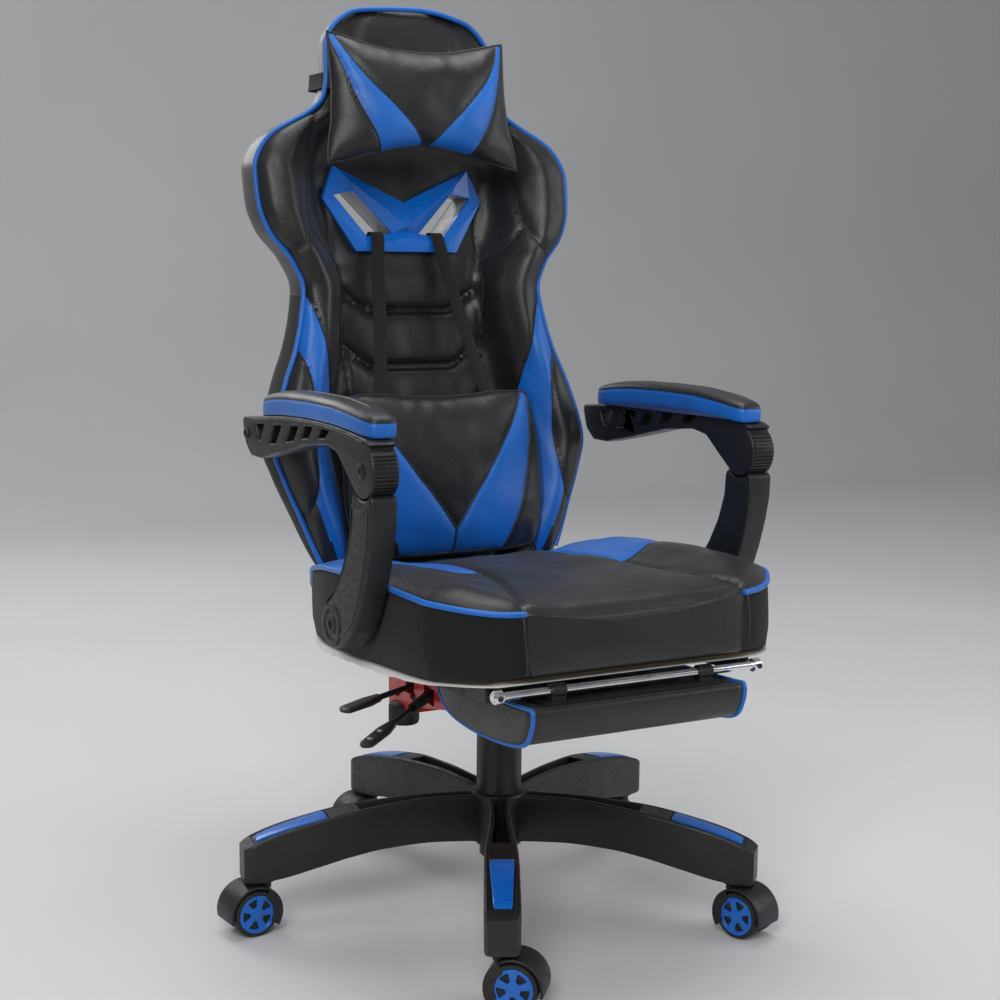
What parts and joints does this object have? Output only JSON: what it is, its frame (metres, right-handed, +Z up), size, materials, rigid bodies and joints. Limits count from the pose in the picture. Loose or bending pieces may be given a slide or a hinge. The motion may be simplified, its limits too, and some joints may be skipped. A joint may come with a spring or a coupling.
{
  "type": "reclining gaming chair",
  "caption": "High-back bucket-style desk chair with recline, linked arms, pillows, a pull-out footrest and a wheeled star base.",
  "frame": {"origin": "centre of the footprint's bounding box, on the floor", "axes": "+Z up, the sitter faces -Y, +X across the chair towards the right of a viewer standing in front"},
  "size_m": [0.6859, 0.7133, 1.201],
  "materials": {
    "nylon_black": "fine moulded texture",
    "blue_plastic": "satin",
    "caster_wheel": "smooth tread, blue spoked cap",
    "black_steel": "black powder coat",
    "red_steel": "red enamel",
    "chrome": "polished",
    "black_leather": "grained artificial leather with a soft sheen",
    "blue_leather": "grained artificial leather",
    "webbing": "woven elastic and strap",
    "liner": "white non-woven",
    "plywood": "raw plywood"
  },
  "bodies": {
    "base": {"star_base": "nylon_black", "gas_lift_cylinder": "black_steel", "shroud_lower": "nylon_black", "base_insert_1": "blue_plastic", "base_insert_2": "blue_plastic", "base_insert_3": "blue_plastic", "base_insert_4": "blue_plastic", "base_insert_5": "blue_plastic"},
    "caster_1": {"caster_hood_1": "nylon_black"},
    "wheel_1a": {"caster_wheel_1a": "caster_wheel"},
    "wheel_1b": {"caster_wheel_1b": "caster_wheel"},
    "caster_2": {"caster_hood_2": "nylon_black"},
    "wheel_2a": {"caster_wheel_2a": "caster_wheel"},
    "wheel_2b": {"caster_wheel_2b": "caster_wheel"},
    "caster_3": {"caster_hood_3": "nylon_black"},
    "wheel_3a": {"caster_wheel_3a": "caster_wheel"},
    "wheel_3b": {"caster_wheel_3b": "caster_wheel"},
    "caster_4": {"caster_hood_4": "nylon_black"},
    "wheel_4a": {"caster_wheel_4a": "caster_wheel"},
    "wheel_4b": {"caster_wheel_4b": "caster_wheel"},
    "caster_5": {"caster_hood_5": "nylon_black"},
    "wheel_5a": {"caster_wheel_5a": "caster_wheel"},
    "wheel_5b": {"caster_wheel_5b": "caster_wheel"},
    "lift": {"gas_lift_rod": "chrome"},
    "swivel": {"mechanism_housing": "red_steel", "shroud_upper": "nylon_black"},
    "tension_knob": {"tension_knob": "nylon_black"},
    "lift_lever": {"lift_lever": "nylon_black"},
    "recline_lever": {"recline_lever": "nylon_black"},
    "seat": {"tilt_plate": "black_steel", "seat_board": "plywood", "seat_liner": "liner", "seat_cushion": "black_leather", "seat_bracket_l": "black_steel", "seat_bracket_r": "black_steel", "footrest_rail_l": "black_steel", "footrest_rail_r": "black_steel", "foot_bolt_l": "black_steel", "foot_bolt_r": "black_steel"},
    "back": {"backrest_cushion": "black_leather", "mask_trim": "blue_plastic", "back_bracket_l": "black_steel", "back_bracket_r": "black_steel", "head_pillow": "black_leather", "lumbar_pillow": "black_leather", "head_band": "webbing", "lumbar_strap_l": "webbing", "lumbar_strap_r": "webbing"},
    "arm_post_l": {"arm_post_l": "nylon_black", "elbow_pin_l": "black_steel"},
    "arm_beam_l": {"arm_beam_l": "nylon_black", "arm_pad_l": "blue_leather"},
    "arm_post_r": {"arm_post_r": "nylon_black", "elbow_pin_r": "black_steel"},
    "arm_beam_r": {"arm_beam_r": "nylon_black", "arm_pad_r": "blue_leather"},
    "footrest_slide": {"footrest_slide": "chrome"},
    "footrest_flip": {"footrest_pad": "black_leather", "footrest_flip_plate": "black_steel"}
  },
  "joints": [
    {"name": "caster_1_swivel", "type": "hinge", "parent": "base", "child": "caster_1", "pos_m": [-0.12047, -0.29951, 0.06], "axis": [0, 0, 1], "continuous": true},
    {"name": "wheel_1a_roll", "type": "hinge", "parent": "caster_1", "child": "wheel_1a", "pos_m": [-0.10701, -0.31146, 0.02974], "axis": [0.6639, 0.7478, 0], "continuous": true},
    {"name": "wheel_1b_roll", "type": "hinge", "parent": "caster_1", "child": "wheel_1b", "pos_m": [-0.10701, -0.31146, 0.02974], "axis": [0.6639, 0.7478, 0], "continuous": true},
    {"name": "caster_2_swivel", "type": "hinge", "parent": "base", "child": "caster_2", "pos_m": [0.25132, -0.24222, 0.06], "axis": [0, 0, 1], "continuous": true},
    {"name": "wheel_2a_roll", "type": "hinge", "parent": "caster_2", "child": "wheel_2a", "pos_m": [0.25727, -0.25921, 0.02974], "axis": [0.9438, 0.3305, 0], "continuous": true},
    {"name": "wheel_2b_roll", "type": "hinge", "parent": "caster_2", "child": "wheel_2b", "pos_m": [0.25727, -0.25921, 0.02974], "axis": [0.9438, 0.3305, 0], "continuous": true},
    {"name": "caster_3_swivel", "type": "hinge", "parent": "base", "child": "caster_3", "pos_m": [0.31173, 0.12908, 0.06], "axis": [0, 0, 1], "continuous": true},
    {"name": "wheel_3a_roll", "type": "hinge", "parent": "caster_3", "child": "wheel_3a", "pos_m": [0.29658, 0.13881, 0.02974], "axis": [-0.5402, -0.8415, 0], "continuous": true},
    {"name": "wheel_3b_roll", "type": "hinge", "parent": "caster_3", "child": "wheel_3b", "pos_m": [0.29658, 0.13881, 0.02974], "axis": [-0.5402, -0.8415, 0], "continuous": true},
    {"name": "caster_4_swivel", "type": "hinge", "parent": "base", "child": "caster_4", "pos_m": [-0.02273, 0.30127, 0.06], "axis": [0, 0, 1], "continuous": true},
    {"name": "wheel_4a_roll", "type": "hinge", "parent": "caster_4", "child": "wheel_4a", "pos_m": [-0.04073, 0.30114, 0.02974], "axis": [0.007, -1, 0], "continuous": true},
    {"name": "wheel_4b_roll", "type": "hinge", "parent": "caster_4", "child": "wheel_4b", "pos_m": [-0.04073, 0.30114, 0.02974], "axis": [0.007, -1, 0], "continuous": true},
    {"name": "caster_5_swivel", "type": "hinge", "parent": "base", "child": "caster_5", "pos_m": [-0.28985, 0.03638, 0.06], "axis": [0, 0, 1], "continuous": true},
    {"name": "wheel_5a_roll", "type": "hinge", "parent": "caster_5", "child": "wheel_5a", "pos_m": [-0.30775, 0.03447, 0.02974], "axis": [0.1063, -0.9943, 0], "continuous": true},
    {"name": "wheel_5b_roll", "type": "hinge", "parent": "caster_5", "child": "wheel_5b", "pos_m": [-0.30775, 0.03447, 0.02974], "axis": [0.1063, -0.9943, 0], "continuous": true},
    {"name": "gas_lift", "type": "slide", "parent": "base", "child": "lift", "axis": [0, 0, 1], "range_m": [0, 0.08]},
    {"name": "seat_swivel", "type": "hinge", "parent": "lift", "child": "swivel", "pos_m": [0.026, -0.015, 0.28], "axis": [0, 0, 1], "continuous": true},
    {"name": "seat_tilt", "type": "hinge", "parent": "swivel", "child": "seat", "pos_m": [0.026, -0.095, 0.337], "axis": [-1, 0, 0], "range_deg": [0, 12], "stiffness_Nm_per_rad": 300, "springref_deg": -17.19},
    {"name": "back_recline", "type": "hinge", "parent": "seat", "child": "back", "pos_m": [0.026, 0.197, 0.4], "axis": [-1, 0, 0], "range_deg": [0, 40]},
    {"name": "arm_l_foot", "type": "hinge", "parent": "seat", "child": "arm_post_l", "pos_m": [-0.235, -0.107, 0.424], "axis": [-1, 0, 0], "range_deg": [0, 42.64]},
    {"name": "arm_l_elbow", "type": "hinge", "parent": "arm_post_l", "child": "arm_beam_l", "pos_m": [-0.235, -0.195, 0.618], "axis": [-1, 0, 0], "range_deg": [-34.34, 0]},
    {"name": "arm_r_foot", "type": "hinge", "parent": "seat", "child": "arm_post_r", "pos_m": [0.287, -0.107, 0.424], "axis": [-1, 0, 0], "range_deg": [0, 42.64]},
    {"name": "arm_r_elbow", "type": "hinge", "parent": "arm_post_r", "child": "arm_beam_r", "pos_m": [0.287, -0.195, 0.618], "axis": [-1, 0, 0], "range_deg": [-34.34, 0]},
    {"name": "footrest_pull", "type": "slide", "parent": "seat", "child": "footrest_slide", "axis": [0, -0.9974, 0.0715], "range_m": [0, 0.26]},
    {"name": "footrest_turn", "type": "hinge", "parent": "footrest_slide", "child": "footrest_flip", "pos_m": [0.026, -0.335, 0.378], "axis": [-1, 0, 0], "range_deg": [0, 180.5]},
    {"name": "lift_lever_press", "type": "hinge", "parent": "swivel", "child": "lift_lever", "pos_m": [-0.044, 0.097, 0.281], "axis": [-0.1671, 0.9859, 0], "range_deg": [0, 12], "stiffness_Nm_per_rad": 0.8, "springref_deg": -8.59},
    {"name": "recline_lever_press", "type": "hinge", "parent": "swivel", "child": "recline_lever", "pos_m": [-0.04, 0.045, 0.284], "axis": [-0.5599, 0.8286, 0], "range_deg": [0, 12], "stiffness_Nm_per_rad": 0.8, "springref_deg": -8.59},
    {"name": "tension_knob_turn", "type": "hinge", "parent": "swivel", "child": "tension_knob", "pos_m": [-0.046, 0.131, 0.23], "axis": [0, 0, 1], "range_deg": [-360, 360]}
  ],
  "couplings": [
    {"joint": "arm_l_foot", "follows": "back_recline", "ratio": 1.0534},
    {"joint": "arm_l_elbow", "follows": "back_recline", "ratio": -0.8459},
    {"joint": "arm_r_foot", "follows": "back_recline", "ratio": 1.0534},
    {"joint": "arm_r_elbow", "follows": "back_recline", "ratio": -0.8459},
    {"joint": "footrest_turn", "follows": "footrest_pull", "rad_per_m": 12.083}
  ]
}
